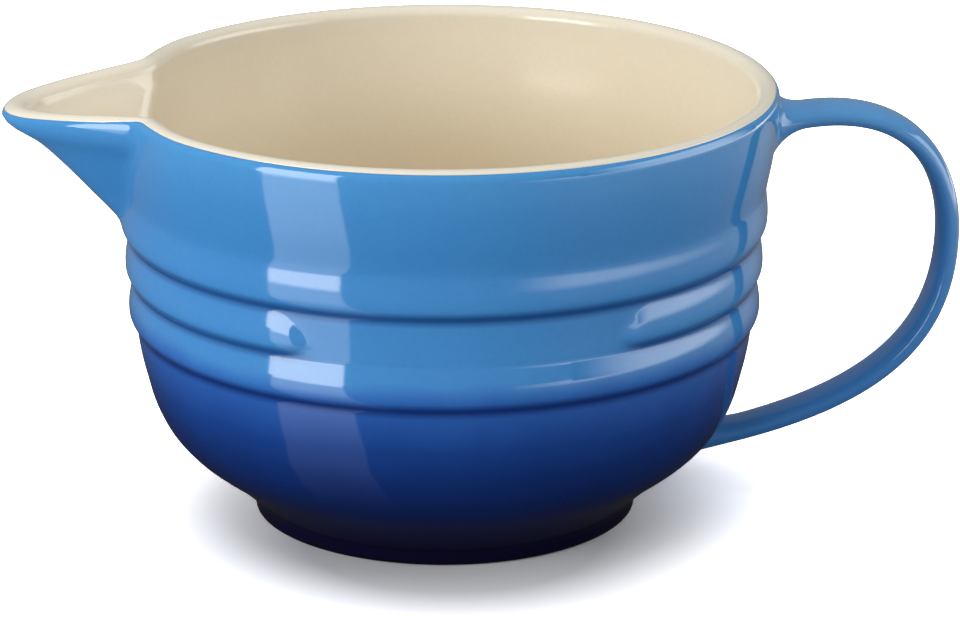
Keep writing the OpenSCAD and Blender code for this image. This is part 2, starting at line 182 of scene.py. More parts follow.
def paint_points(piece: Object, name: str, values: Array) -> None:
    """Stores one number a point on a piece under the name given."""
    store = piece.data.attributes.new(name, "FLOAT", "POINT")
    store.data.foreach_set("value", np.asarray(values, np.float32))


def skin(name: str, face: Array, under: Array) -> Object:
    """Makes a closed coat from its visible face and the hidden one under it."""
    rows = np.hstack([face, under[:, ::-1]])
    return make_piece(name, rows.reshape(-1, 3), grid_faces(*rows.shape[:2], True))


def tube(name: str, rows: Array, ends: list[Any]) -> Object:
    """Makes a piece of a grid of points, closed by a point at each of its ends."""
    n, m = rows.shape[:2]
    faces = grid_faces(n, m, False)
    for a in range(0, n * m, m):
        b = (a + m) % (n * m)
        faces.append((b, a, n * m))
        faces.append((a + m - 1, b + m - 1, n * m + 1))
    return make_piece(name, np.concatenate([rows.reshape(-1, 3), ends]), faces)


def flat(name: str, corners: list[Any], look: Material) -> Object:
    """Makes a four-cornered sheet with its material."""
    mesh = bpy.data.meshes.new(name)
    mesh.from_pydata(corners, [], [(0, 1, 2, 3)])
    mesh.materials.append(look)
    return placed(name, mesh)


# Materials

def linear(colour: str) -> tuple[float, ...]:
    """Turns an sRGB hex colour into linear light with full opacity."""
    parts = [int(colour[i:i + 2], 16) / 255 for i in (1, 3, 5)]
    light = [c / 12.92 if c <= 0.04045 else ((c + 0.055) / 1.055) ** 2.4 for c in parts]
    return (light[0], light[1], light[2], 1.0)


def add(
    tree: NodeTree, kind: str, settings: dict[str, Any] | None = None,
    links: dict[str | int, Any] | None = None, stops: list[tuple[float, str]] | None = None,
) -> bpy.types.bpy_prop_collection:
    """Adds a node with its settings and links.

    Args:
        tree: The tree that gets the node.
        kind: The node's type name.
        settings: Values of the node's own properties.
        links: For an input by name or number, what feeds it or its value.
        stops: Places and sRGB hex colours, where the node is a ramp.

    Returns:
        The new node's outputs.
    """
    made = tree.nodes.new(kind)
    for key, value in (settings or {}).items():
        setattr(made, key, value)
    for key, value in (links or {}).items():
        value = value.socket if isinstance(value, Value) else value
        if isinstance(value, NodeSocket):
            tree.links.new(value, made.inputs[key])
        else:
            made.inputs[key].default_value = value
    if stops:
        band = made.color_ramp.elements
        while len(band) < len(stops):
            band.new(0.5)
        for element, (place, colour) in zip(band, stops):
            element.position = place
            element.color = linear(colour)
    return made.outputs


class Value:
    """A number in a node tree, whose arithmetic adds the nodes that it needs."""

    def __init__(self, socket: NodeSocket) -> None:
        """Takes the socket that gives the number."""
        self.socket = socket
        self.tree = socket.id_data

    def step(self, operation: str, *others: Any) -> "Value":
        """Returns the result of one step of arithmetic on this number and others."""
        links = dict(enumerate((self, *others)))
        return Value(add(self.tree, "ShaderNodeMath", {"operation": operation}, links)[0])

    def __rsub__(self, other: float) -> "Value":
        """Returns a plain number less this one."""
        return self * -1.0 + other

    __add__ = partialmethod(step, "ADD")
    __sub__ = partialmethod(step, "SUBTRACT")
    __mul__ = partialmethod(step, "MULTIPLY")
    __truediv__ = partialmethod(step, "DIVIDE")

    def fade(self, start: float, end: float, before: float, after: float) -> "Value":
        """Returns a number that goes softly from before to after as this one rises."""
        return Value(add(self.tree, "ShaderNodeMapRange", {"interpolation_type": "SMOOTHSTEP"},
                         {0: self, 1: start, 2: end, 3: before, 4: after})[0])


def blank(name: str) -> tuple[Material, NodeTree]:
    """Makes a material without nodes, and returns it and its tree."""
    made = bpy.data.materials.new(name)
    made.use_nodes = True
    made.node_tree.nodes.clear()
    return made, made.node_tree


@dataclass(frozen=True)
class Finish:
    """A fired surface: its colour, its gloss and the faint unevenness that it has."""

    name: str = "fired_surface"
    roughness: float = 0.1
    ior: float = 1.5
    # Each pattern's size in millimetres and its detail
    cloud: Pair = (22.0, 2.0)
    mottle: Pair = (1.6, 4.0)
    peel: Pair = (6.0, 1.0)
    mottle_depth: float = 0.14
    peel_depth_mm: float = 0.012
    peel_strength: float = 1.0

    def patches(self, where: NodeSocket, size_mm: float, detail: float) -> Value:
        """Returns a number from 0 to 1 in cloudy patches of a real size."""
        size = {"Vector": where, "Scale": 1 / (size_mm * MM), "Detail": detail}
        return Value(add(where.id_data, "ShaderNodeTexNoise", {}, size)["Fac"])

    def colour(self, where: NodeSocket, cloud: Value) -> NodeSocket:
        """Returns the finish's colour, without its mottle."""
        raise NotImplementedError

    def build(self) -> Material:
        """Returns the finish's material."""
        made, tree = blank(self.name)
        where = add(tree, "ShaderNodeTexCoord")["Object"]
        cloud = self.patches(where, *self.cloud)
        tone = (self.patches(where, *self.mottle) - 0.5) * self.mottle_depth + 1.0
        colour = add(tree, "ShaderNodeMix", TINTED,
                     {0: 1.0, 6: self.colour(where, cloud), 7: tone})[2]
        bump = add(tree, "ShaderNodeBump", {}, {
            "Height": self.patches(where, *self.peel),
            "Distance": self.peel_depth_mm * MM, "Strength": self.peel_strength})[0]
        shader = add(tree, "ShaderNodeBsdfPrincipled", {}, {
            "Base Color": colour, "Normal": bump,
            "Roughness": self.roughness, "IOR": self.ior})[0]
        add(tree, "ShaderNodeOutputMaterial", {}, {"Surface": shader})
        return made


@dataclass(frozen=True)
class AzureGlaze(Finish):
    """Gloss glaze over stoneware, sprayed light blue above and indigo toward the foot, with
    painted shade in the grade.

    Two sprayed colours melt into each other, so the eye sees a long soft grade with
    faint clouds in it, and a wet-looking surface with the slightest orange peel. The
    glaze pools in the creases between the ribs, where it is thicker and darker, and
    painted shade darkens the creases further.
    """

    name: str = "azure_gloss_glaze"
    # Colour by height: the sprayed grade together with painted shade, darker toward the foot and
    # dropping fast over the lowest rib
    grade: tuple[tuple[float, str], ...] = (
        (0, "#0b0820"), (5, "#0c0a2a"), (12, "#0b1238"), (20, "#0a1a48"),
        (28, "#0b2358"), (36, "#0e2c68"), (44, "#143a7e"), (52, "#214d95"),
        (57, "#27579f"), (60.5, "#2f66ab"), (64.5, "#3c7db8"), (72, "#3e80bb"),
        (86, "#3d7fba"), (100, "#387bb5"), (112, "#3b7fb9"), (124, "#4489c0"),
    )
    roughness: float = 0.07
    crease_low_mm: float = 56.3
    crease_pitch_mm: float = 13.0
    # Places counted in pitches up from the lowest crease, where pooled glaze and painted crease
    # shade darken the wall
    pool_and_shade_span: Pair = (-0.3, 2.8)
    panel_crease: float = 1.0
    panel_reach: float = 0.4
    panel_deg: Pair = (25.5, 34.5)
    # Multiplied into the creases: the colour of pooled glaze, with painted crease shade
    crease_pool_and_shade: str = "#8b9cb9"
    # Shares of a pitch at which the pooled glaze and painted crease shade start to thin out, end
    # and start again
    pool_and_shade_ends: tuple[float, ...] = (0.07, 0.22, 0.84)
    cloud_shift_mm: float = 3.0

    def colour(self, where: NodeSocket, cloud: Value) -> NodeSocket:
        """Returns the grade's colour with its clouds, and its creases darkened by pooled glaze and
        painted shade.
        """
        tree = where.id_data
        x, y, z = map(Value, add(tree, "ShaderNodeSeparateXYZ", {}, {0: where}))
        top = self.grade[-1][0]
        share = (z + (cloud * 2.0 - 1.0) * (self.cloud_shift_mm * MM)) / (top * MM)
        stops = [(height / top, colour) for height, colour in self.grade]
        colour = add(tree, "ShaderNodeValToRGB", {}, {0: share}, stops)[0]
        turns = (z - self.crease_low_mm * MM) / (self.crease_pitch_mm * MM)
        start, end = self.pool_and_shade_span
        crease_band = turns.step("GREATER_THAN", start) * turns.step("LESS_THAN", end)
        # Under the bare panel the wall has no crease
        way = x.step("ARCTAN2", y * -1.0).step("ABSOLUTE")
        clear = way.fade(*map(radians, self.panel_deg), 1.0, 0.0)
        clear = clear * turns.step("COMPARE", self.panel_crease, self.panel_reach)
        full, gone, back = self.pool_and_shade_ends
        stops = [(0.0, self.crease_pool_and_shade), (full, self.crease_pool_and_shade), (gone, WHITE), (back, WHITE),
                 (1.0, self.crease_pool_and_shade)]
        pool_and_shade = add(tree, "ShaderNodeValToRGB", {}, {0: turns.step("FRACT")}, stops)[0]
        # Pooled glaze and painted shade darken the creases
        return add(tree, "ShaderNodeMix", TINTED,
                   {0: crease_band * (1.0 - clear), 6: colour, 7: pool_and_shade})[2]


@dataclass(frozen=True)
class CreamGlaze(Finish):
    """Satin-gloss liner glaze, poured, warm cream and thinner over the rim."""

    name: str = "cream_liner_glaze"
    # By the distance down the inside from where the two coats meet
    grade: tuple[tuple[float, str], ...] = ((7.0, "#d9d2c1"), (16.0, "#e2d8c2"), (90.0, "#dccdb0"))
    grade_mm: float = 160.0
    roughness: float = 0.16
    cloud: Pair = (9.0, 3.0)
    cloud_shift_mm: float = 6.0
    mottle: Pair = (1.2, 3.0)
    mottle_depth: float = 0.08
    peel: Pair = (7.0, 1.0)
    peel_depth_mm: float = 0.01

    def colour(self, where: NodeSocket, cloud: Value) -> NodeSocket:
        """Returns the liner's colour with its clouds."""
        tree = where.id_data
        run = add(tree, "ShaderNodeAttribute", {"attribute_name": "run_mm"})["Fac"]
        share = (cloud * self.cloud_shift_mm + run) / self.grade_mm
        stops = [(place / self.grade_mm, colour) for place, colour in self.grade]
        return add(tree, "ShaderNodeValToRGB", {}, {0: share}, stops)[0]


@dataclass(frozen=True)
class BareStoneware(Finish):
    """Fired stoneware left bare on the foot: matt, sandy, with small iron specks."""

    name: str = "bare_stoneware"
    clay: str = "#cbbb9f"
    dark: str = "#b7a486"
    speck: str = "#5d4632"
    speck_mm: float = 3.2
    speck_share: float = 0.09
    roughness: float = 0.78
    cloud: Pair = (14.0, 4.0)
    mottle_depth: float = 0.0
    peel: Pair = (0.5, 3.0)
    peel_depth_mm: float = 0.05
    peel_strength: float = 0.6

    def colour(self, where: NodeSocket, cloud: Value) -> NodeSocket:
        """Returns the clay's clouded colour with its specks."""
        tree = where.id_data
        stops = [(0.35, self.dark), (0.65, self.clay)]
        colour = add(tree, "ShaderNodeValToRGB", {}, {0: cloud}, stops)[0]
        spots = add(tree, "ShaderNodeTexVoronoi", {},
                    {"Vector": where, "Scale": 1 / (self.speck_mm * MM)})["Distance"]
        dot = Value(spots).step("LESS_THAN", self.speck_share)
        return add(tree, "ShaderNodeMix", {"data_type": "RGBA"},
                   {0: dot, 6: colour, 7: linear(self.speck)})[2]


# The bowl

@dataclass(frozen=True)
class BowlShape:
    """The rule of the bowl's glazed surface: turned wall, pinched spout, rounded rim."""

    foot_r: float = 54.5
    foot_w: float = 7.0
    foot_recess: float = 3.2
    recess_round: float = 1.0
    hub_r: float = 1.5
    foot_break: float = 0.8
    foot_fillet: float = 0.9
    foot_top: float = 2.8
    bare_h: float = 0.4
    height: float = 124.2
    rim_round: float = 3.2
    wall: float = 6.4
    floor_z: float = 10.4
    band_top: float = 82.3
    spout_reach: float = 123.5
    spout_dip: float = 3.4
    spout_half: float = 40.0
    tip_round: float = 11.0
    channel_round: float = 7.4
    waist_half: float = 28.0
    waist_share: float = 0.81
    waist_blend: float = 3.0
    spout_blend: float = 1.6
    channel_blend: float = 3.2
    least_step: float = 0.8
    sector: float = 31.0
    pinch: float = 2.0
    pinch_span: Pair = (20.0, 38.0)
    pinch_low: float = 84.0
    pinch_full: float = 120.2
    # A spout that stands this far inside the wall changes nothing on it
    apart: float = 10.0
    wall_curve: tuple[Pair, ...] = (
        (4.4, 55.1), (6, 56.6), (8, 58.5), (10, 60.6), (12, 62.8), (14, 65.2),
        (16.5, 68.6), (19, 71.8), (21.5, 74.6), (24, 76.9), (27, 79.2), (30, 80.9),
        (33.5, 82.5), (37, 83.7), (41, 84.7), (45, 85.7), (49.5, 86.6), (54, 87.25),
        (60.5, 87.8), (67.5, 88.15), (74, 88.5), (80.5, 89.0), (87, 89.6), (94, 90.6),
        (98, 91.25), (103, 92.2), (108, 93.0), (113, 93.6), (118, 93.9), (124.2, 94.0),
    )
    ridge_curve: tuple[Pair, ...] = (
        (0.5475, 0.6316), (0.6441, 0.6923), (0.6924, 0.7336), (0.715, 0.753),
        (0.7343, 0.77), (0.7528, 0.787), (0.7721, 0.8057), (0.7915, 0.8227),
        (0.8108, 0.8413), (0.8301, 0.8591), (0.8486, 0.8777), (0.868, 0.8972),
        (0.8873, 0.919), (0.9066, 0.9466), (0.9179, 0.966), (0.9275, 0.9814),
        (0.9372, 0.9919), (0.9501, 0.9984), (0.9662, 1.0), (1.0386, 1.0),
    )

    def fair(self) -> SmoothCurve:
        """Returns the wall's outer radius by height, without ribs."""
        return SmoothCurve(*zip(*self.wall_curve))

    def within(self, curve: SmoothCurve, z: Array) -> tuple[Array, Array]:
        """Returns heights and reaches that lie the wall's thickness inside a curve."""
        m = curve.slope(z)
        n = np.sqrt(1 + m * m)
        return z + self.wall * m / n, curve(z) - self.wall / n

    def inside(self) -> SmoothCurve:
        """Returns the inner radius by height, the wall's thickness in from the outside."""
        z = np.array([p[0] for p in self.wall_curve if p[0] > 10])
        return SmoothCurve(*self.within(self.fair(), z))

    def side_reach(self) -> SmoothCurve:
        """Returns how far the spout's flat sides stand from the axis, by height."""
        z, share = np.array(self.ridge_curve).T
        reach = self.spout_reach * share + self.tip_round
        return SmoothCurve(z * self.height, sin(radians(self.spout_half)) * reach)

    def channel_reach(self) -> SmoothCurve:
        """Returns the same for the spout's inner faces."""
        z = np.array(self.ridge_curve)[:, 0] * self.height
        x, y = self.within(self.side_reach(), z)
        keep = [0]
        for i in range(1, len(x)):
            if x[i] > x[keep[-1]] + self.least_step:
                keep.append(i)
        return SmoothCurve(x[keep], y[keep])

    def vee(self, d: Array, a: Array, k: float, t: float = 0.0) -> Array:
        """Returns the radius to the spout's sides.

        Args:
            d: Distance of the straight sides from the axis.
            a: Directions off the spout, in degrees.
            k: Blend at the tip.
            t: How far inside the outer face these sides lie.
        """
        face = radians(90 - self.spout_half)
        near = np.radians(np.clip(a, -self.sector, self.sector))
        tip = smaller(d / np.cos(near - face), d / np.cos(near + face), k)
        # Beside the wall the sides turn in a little
        turned = np.abs(near) - radians(90 - self.waist_half)
        waist = (self.waist_share * (d + t) - t) / np.cos(turned)
        return smaller(tip, waist, self.waist_blend)

    def squeeze(self, a: Array, z: Array) -> Array:
        """Returns how far the wall is pinched in on both sides of the spout."""
        start, end = self.pinch_span
        t = np.clip((np.abs(a) - start) / (end - start), 0, 1)
        h = np.clip((z - self.pinch_low) / (self.pinch_full - self.pinch_low), 0, 1)
        return self.pinch * (1 - eased(t)) * eased(h)

    def at_spout(self, out: Array, a: Array, z: Array) -> Array:
        """Returns how far faces stand outside the wall, and far inside it off the spout."""
        here = (np.abs(a) < self.sector) & (z > self.ridge_curve[0][0] * self.height)
        return np.where(here, np.maximum(out, -self.apart), -self.apart)

    def stand(self, a: Array, z: Array) -> Array:
        """Returns how far the spout's sides stand outside the wall."""
        wall = self.fair()(z) - self.squeeze(a, z)
        return self.at_spout(self.vee(self.side_reach()(z), a, 4 * self.tip_round) - wall, a, z)

    def outer(self, a: Array, z: Array) -> Array:
        """Returns the outer radius, a degrees off the spout, without ribs."""
        wall = larger(self.fair()(z), self.foot_r, self.foot_fillet)
        return wall - self.squeeze(a, z) + larger(0.0, self.stand(a, z), self.spout_blend)

    def inner(self, a: Array, z: Array) -> Array:
        """Returns the inner radius, a degrees off the spout."""
        wall = self.inside()(z) - self.squeeze(a, z)
        out = self.vee(self.channel_reach()(z), a, 4 * self.channel_round, self.wall) - wall
        return larger(wall, wall + self.at_spout(out, a, z), self.channel_blend)

    def rim_drop(self, a: Array) -> Array:
        """Returns how far the rim falls toward the spout's tip."""
        z = np.full_like(a, self.height - self.rim_round)
        plain = self.fair()(z) - self.squeeze(a, z)
        out = (self.outer(a, z) - plain) / (self.spout_reach - plain)
        return self.spout_dip * np.clip(out, 0, 1)


@dataclass
class Bowl:
    """The turned bowl with its spout: clay body, outer coat and liner coat."""

    shape: BowlShape = field(default_factory=BowlShape)
    glaze_t: float = 0.45
    meet_angle: float = 47.0
    spout_meet_angle: float = 32.0
    rib_low: float = 56.3
    rib_pitch: float = 13.0
    rib_h: float = 1.7
    rib_power: float = 1.3
    crest_share: float = 0.3
    rib_end: float = 7.0
    rib_count: int = 3
    panel_rib: int = 1
    panel_half: float = 29.0
    fine_step: float = 0.7
    plain_step: float = 1.25
    fine_span: float = 42.0
    # Heights of the plain rows under the ribs: from, to and how many
    low_rows: tuple[tuple[float, float, int], ...] = ((3.4, 6.0, 9), (7.0, 34.0, 22))
    row_power: float = 1.3
    band_rows: int = 17
    # Angles of the rim's arch before the coats meet, then how many rows after it
    arch: tuple[float, ...] = (12.0, 25.0, 36.0)
    arch_rows: int = 14
    inside_rows: int = 42
    inside_power: float = 0.9
    bend_rows: int = 13
    floor_rows: int = 8
    clay_from: int = 4
    panel_z: float = 74.0
    # Share of the wall's thickness beyond which a point belongs to its outside
    wall_share: float = 0.7
    ribless: float = 60.0

    def __post_init__(self) -> None:
        """Lays out the columns and the glazed face."""
        self.angles = self.column_angles()
        self.face, self.meet = self.glazed_face()
        along = np.roll(self.face, -1, axis=0) - np.roll(self.face, 1, axis=0)
        normals = unit(np.cross(along, np.gradient(self.face, axis=1)))
        self.clay_face = self.face - self.glaze_t * normals

    def column_angles(self) -> Array:
        """Returns the columns' directions off the spout, closer together round it."""
        span = self.fine_span
        fine = np.linspace(-span, span, round(2 * span / self.fine_step), endpoint=False)
        count = round((360 - 2 * span) / self.plain_step)
        plain = np.linspace(span, 360 - span, count, endpoint=False)
        return np.concatenate([fine, plain])

    def around(self, r: Array, z: Array, a: Array) -> Array:
        """Returns points at radii and heights in directions off the spout."""
        r, z, way = np.broadcast_arrays(r, z, np.radians(180 + a))
        return np.stack([r * np.cos(way), r * np.sin(way), z], axis=-1)

    def glazed_face(self) -> tuple[Array, int]:
        """Returns the whole glazed face, up the outside and down the inside.

        Returns:
            Columns by rows by three, and the number of the row where the coats meet.
        """
        s = self.shape
        a = np.where(self.angles > 180, self.angles - 360, self.angles)[:, None]
        drop = s.rim_drop(a)
        shoulder = s.height - s.rim_round - drop
        low = np.concatenate([
            np.linspace(s.bare_h, 3.0, 3), *(np.linspace(*rows) for rows in self.low_rows),
            np.linspace(36.0, self.rib_low - 1, 10),
            *(self.rib_low + self.rib_pitch * (k + self.rib_rows()) for k in range(2)),
        ])
        share = self.rib_pitch / (shoulder.max() - s.band_top)
        high = np.concatenate([self.rib_rows() * share, np.linspace(share, 1, self.band_rows)])
        top = s.band_top + high * (shoulder - s.band_top)
        z = np.hstack([np.tile(low, (len(a), 1)), top])
        outside = self.around(s.outer(a, z), z, a)
        # The rounded rim, an arch from the outer face to the inner one
        turns = np.append(self.arch, np.linspace(self.meet_angle, 180, self.arch_rows))
        # The coats meet a little lower on the spout's rim than on the bowl's
        share = np.clip(drop / s.spout_dip * 4, 0, 1)
        meet = self.meet_angle + (self.spout_meet_angle - self.meet_angle) * share
        below = turns * meet / self.meet_angle
        above = 180 - (180 - turns) * (180 - meet) / (180 - self.meet_angle)
        b = np.radians(np.where(turns < self.meet_angle, below, above))
        ro = s.outer(a, shoulder)
        ri = s.inner(a, shoulder)
        r = (ro + ri) / 2 + (ro - ri) / 2 * np.cos(b)
        rim = self.around(r, shoulder + s.rim_round * np.sin(b), a)
        # Down the inside to the start of the floor's curve
        joint_z, joint_r, bend_r, flat_r = self.floor_curve()
        down = np.linspace(0, 1, self.inside_rows)[1:] ** self.inside_power
        z = shoulder + down * (joint_z - shoulder)
        inside = self.around(s.inner(a, z), z, a)
        t = np.linspace(1, 0, self.bend_rows)[1:]
        r = (1 - t) ** 2 * flat_r + 2 * t * (1 - t) * bend_r + t * t * joint_r
        z = s.floor_z + t * t * (joint_z - s.floor_z)
        r = np.append(r, np.linspace(flat_r, s.hub_r, self.floor_rows + 1)[1:])
        floor = self.around(r, np.append(z, [s.floor_z] * self.floor_rows), a)
        face = np.hstack([outside, rim, inside, floor])
        return face, outside.shape[1] + len(self.arch)

    def rib_rows(self) -> Array:
        """Returns the rows up one rib, closer together on its short lower side."""
        return np.linspace(0, 1, 25)[:-1] ** self.row_power

    def floor_curve(self) -> tuple[float, ...]:
        """Returns where the floor's curve leaves the wall, bends and turns flat."""
        s = self.shape
        inside = s.inside()
        joint_z = inside.x[0] + 0.6
        joint_r = inside(joint_z)
        bend_r = joint_r - (joint_z - s.floor_z) * inside.slope(joint_z)
        return joint_z, joint_r, bend_r, 2 * bend_r - joint_r

    def outer_coat(self) -> Object:
        """Returns the graded outer coat, with its ribs raised."""
        face = self.face[:, :self.meet + 1]
        piece = skin("outer_glaze_coat", face, self.clay_face[:, :self.meet + 1])
        marks = self.stand_marks(face)
        paint_points(piece, "stand_mm", np.hstack([marks, marks[:, ::-1]]).reshape(-1))
        return self.raise_ribs(piece)

    def liner_coat(self) -> Object:
        """Returns the cream coat over the rim and the whole inside."""
        face = self.face[:, self.meet:]
        under = self.clay_face[:, self.meet:]
        floor = self.shape.floor_z
        piece = tube("liner_glaze_coat", np.hstack([under[:, ::-1], face]),
                     [[0, 0, floor - self.glaze_t], [0, 0, floor]])
        # The distance along each column from where the two coats meet
        steps = np.linalg.norm(np.diff(face, axis=1), axis=2)
        run = np.hstack([np.zeros((len(steps), 1)), np.cumsum(steps, axis=1)])
        marks = np.hstack([run[:, ::-1], run]).reshape(-1)
        paint_points(piece, "run_mm", np.append(marks, [run.max()] * 2))
        return piece

    def clay_body(self) -> Object:
        """Returns the clay under the coats, with its bare foot and underside."""
        s = self.shape
        foot = s.foot_r - self.glaze_t
        inner = s.foot_r - s.foot_w
        b, c = s.foot_break, s.recess_round
        turn = [(1 - cos(t), 1 - sin(t)) for t in np.radians([0, 30, 60, 90])]
        # The underside's outline, from its middle out to the clay's wall
        line = [(s.hub_r, s.foot_recess), (inner * 0.5, s.foot_recess), (inner - c, s.foot_recess)]
        line += [(inner - c + c * sin(t), s.foot_recess - c * (1 - cos(t)))
                 for t in np.radians([30, 60, 90])]
        line += [(inner + b * x, b * y) for x, y in turn]
        line += [(foot - b * x, b * y) for x, y in turn[::-1]]
        line += [(foot, s.bare_h), (foot, s.foot_top)]
        under = self.around(*np.array(line).T, self.angles[::2, None])
        rows = np.hstack([under, self.clay_face[::2, self.clay_from:]])
        piece = tube("clay_body", rows,
                     [[0, 0, s.foot_recess], [0, 0, s.floor_z - self.glaze_t]])
        marks = self.stand_marks(rows).reshape(-1)
        paint_points(piece, "stand_mm", np.append(marks, [-s.apart] * 2))
        return self.raise_ribs(piece)

    def stand_marks(self, points: Array) -> Array:
        """Returns how far the spout stands outside the wall at points outside it."""
        s = self.shape
        x, y, z = np.moveaxis(points, -1, 0)
        a = np.degrees(np.arctan2(y, x)) % 360 - 180
        outside = np.hypot(x, y) > s.inside()(z) + s.wall * self.wall_share
        # On the inside the mark is far more than a rib's height, so no rib shows there
        return np.where(outside, s.stand(a, z), self.ribless)

    def rib_sizes(self) -> dict[str, float]:
        """Returns the values of the ribs' named inputs."""
        wall_r = self.shape.fair()(self.panel_z).item()
        return {
            "Low Edge": self.rib_low * MM, "Pitch": self.rib_pitch * MM,
            "Height": self.rib_h * MM, "Count": float(self.rib_count),
            "Panel Rib": float(self.panel_rib),
            "Panel End": radians(self.panel_half) + self.rib_end / wall_r,
            "Wall Radius": wall_r * MM, "Blend": self.shape.spout_blend * MM,
            "Power": self.rib_power, "Crest": self.crest_share,
            "Round End": self.rib_end * MM,
        }

    def rib_tree(self) -> NodeTree:
        """Returns the node tree that raises turned ribs by rule.

        A rib's crest lies low on it, over a sharp crease. The rib of the bare panel stops
        at both sides of it in a rounded end, and ribs sink into the spout's sides.
        """
        tree = bpy.data.node_groups.new("turned_ribs", "GeometryNodeTree")
        ask = tree.interface.new_socket
        ask("Geometry", in_out="INPUT", socket_type="NodeSocketGeometry")
        for name in self.rib_sizes():
            ask(name, in_out="INPUT", socket_type="NodeSocketFloat")
        ask("Glaze", in_out="INPUT", socket_type="NodeSocketMaterial")
        ask("Geometry", in_out="OUTPUT", socket_type="NodeSocketGeometry")
        given = {s.name: Value(s) for s in add(tree, "NodeGroupInput")}
        crest, blend = given["Crest"], given["Blend"]
        place = add(tree, "GeometryNodeInputPosition")[0]
        x, y, z = map(Value, add(tree, "ShaderNodeSeparateXYZ", {}, {0: place}))
        # Which rib this height belongs to, and how far up the rib it is
        turns = (z - given["Low Edge"]) / given["Pitch"]
        rib = turns.step("FLOOR")
        up = turns - rib
        here = turns.step("GREATER_THAN", 0.0) * turns.step("LESS_THAN", given["Count"])
        # Distance into the bare panel, counted only for the panel's rib
        way = x.step("ARCTAN2", y * -1.0).step("ABSOLUTE")
        into = (given["Panel End"] - way).step("MAXIMUM", 0.0) * given["Wall Radius"]
        into = into * rib.step("COMPARE", given["Panel Rib"], 0.25)
        into = (into / given["Round End"]).step("MINIMUM", 1.0)
        size = (1.0 - into * into).step("SQRT")
        # The rib's end draws in round the crest
        up = (up - crest) / size.step("MAXIMUM", 0.01) + crest
        here = here * (up - 0.5).step("ABSOLUTE").step("LESS_THAN", 0.5)
        # A quarter turn up to the crest, and a longer one over it
        under = (up / crest * QUARTER).step("SINE")
        over = ((1.0 - up) / (1.0 - crest) * QUARTER).step("SINE")
        over = over.step("MAXIMUM", 0.0).step("POWER", given["Power"])
        low = up.step("LESS_THAN", crest)
        height = (low * under + (1.0 - low) * over) * (given["Height"] * size) * here
        stand = Value(add(tree, "GeometryNodeInputNamedAttribute", {"data_type": "FLOAT"},
                          {"Name": "stand_mm"})[0]) * MM

        def blended(a: Value, b: Any) -> Value:
            """Returns the smooth larger of two lengths."""
            near = (blend - (a - b).step("ABSOLUTE")).step("MAXIMUM", 0.0)
            return near * near / blend * 0.25 + a.step("MAXIMUM", b)

        # Against the spout the larger of rib and spout stands, blended
        rise = blended(height, stand) - blended(stand, 0.0)
        out = add(tree, "ShaderNodeCombineXYZ", {}, {0: x, 1: y})[0]
        out = add(tree, "ShaderNodeVectorMath", {"operation": "NORMALIZE"}, {0: out})[0]
        move = add(tree, "ShaderNodeVectorMath", {"operation": "SCALE"},
                   {0: out, "Scale": rise})[0]
        moved = add(tree, "GeometryNodeSetPosition", {},
                    {"Geometry": given["Geometry"], "Offset": move})[0]
        real = add(tree, "GeometryNodeRealizeInstances", links={0: moved})[0]
        made = add(tree, "GeometryNodeSetMaterial", {},
                   {"Geometry": real, "Material": given["Glaze"]})[0]
        add(tree, "NodeGroupOutput", links={0: made})
        return tree

    def raise_ribs(self, piece: Object) -> Object:
        """Raises the ribs on a piece and returns it as a plain mesh."""
        tree = bpy.data.node_groups.get("turned_ribs") or self.rib_tree()
        values = self.rib_sizes()
        nodes = piece.modifiers.new("ribs", "NODES")
        nodes.node_group = tree
        for item in tree.interface.items_tree:
            if item.in_out == "INPUT" and item.name in values:
                nodes[item.identifier] = values[item.name]
        look = bpy.context.evaluated_depsgraph_get()
        mesh = bpy.data.meshes.new_from_object(piece.evaluated_get(look))
        piece.modifiers.remove(nodes)
        piece.data = mesh
        mesh.materials.clear()
        return piece


# The handle

